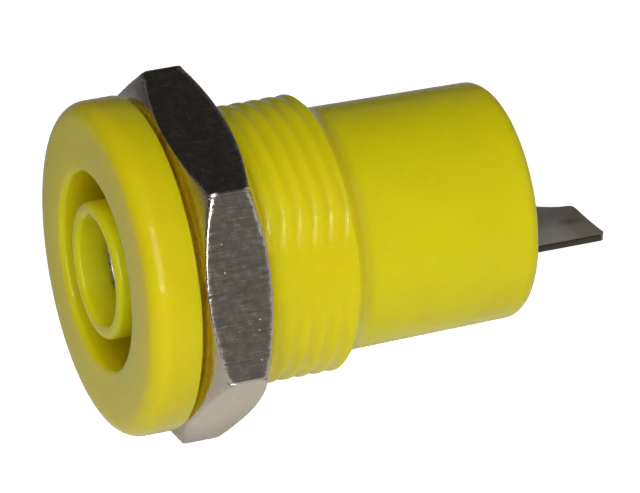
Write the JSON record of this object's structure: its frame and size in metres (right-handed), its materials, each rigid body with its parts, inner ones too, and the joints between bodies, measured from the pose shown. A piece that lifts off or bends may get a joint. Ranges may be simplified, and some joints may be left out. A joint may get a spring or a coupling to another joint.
{
  "type": "banana socket",
  "caption": "Panel-mount banana socket: round bezel with a shrouded, touch-protected bore, threaded barrel, hexagon nut and solder tail.",
  "frame": {"origin": "centre of the bezel's back face, on the axis of the contact's bore, where the panel seats", "axes": "+Y along the socket's axis from the bezel to the solder tail, so a plug enters along +Y; +Z square to one of the nut's flats"},
  "size_m": [0.0162, 0.0227, 0.0142],
  "materials": {
    "yellow_plastic": "glossy moulded thermoplastic",
    "contact_metal": "nickel-plated sheet, dull",
    "nickel_plate": "nickel-plated, fine tool marks along the axis"
  },
  "bodies": {
    "socket": {"housing": "yellow_plastic", "contact": "contact_metal"},
    "nut": {"nut": "nickel_plate"}
  },
  "joints": [
    {"name": "nut_travel", "type": "slide", "parent": "socket", "child": "nut", "axis": [0, 1, 0], "range_m": [-0.00023, 0.00665]}
  ]
}
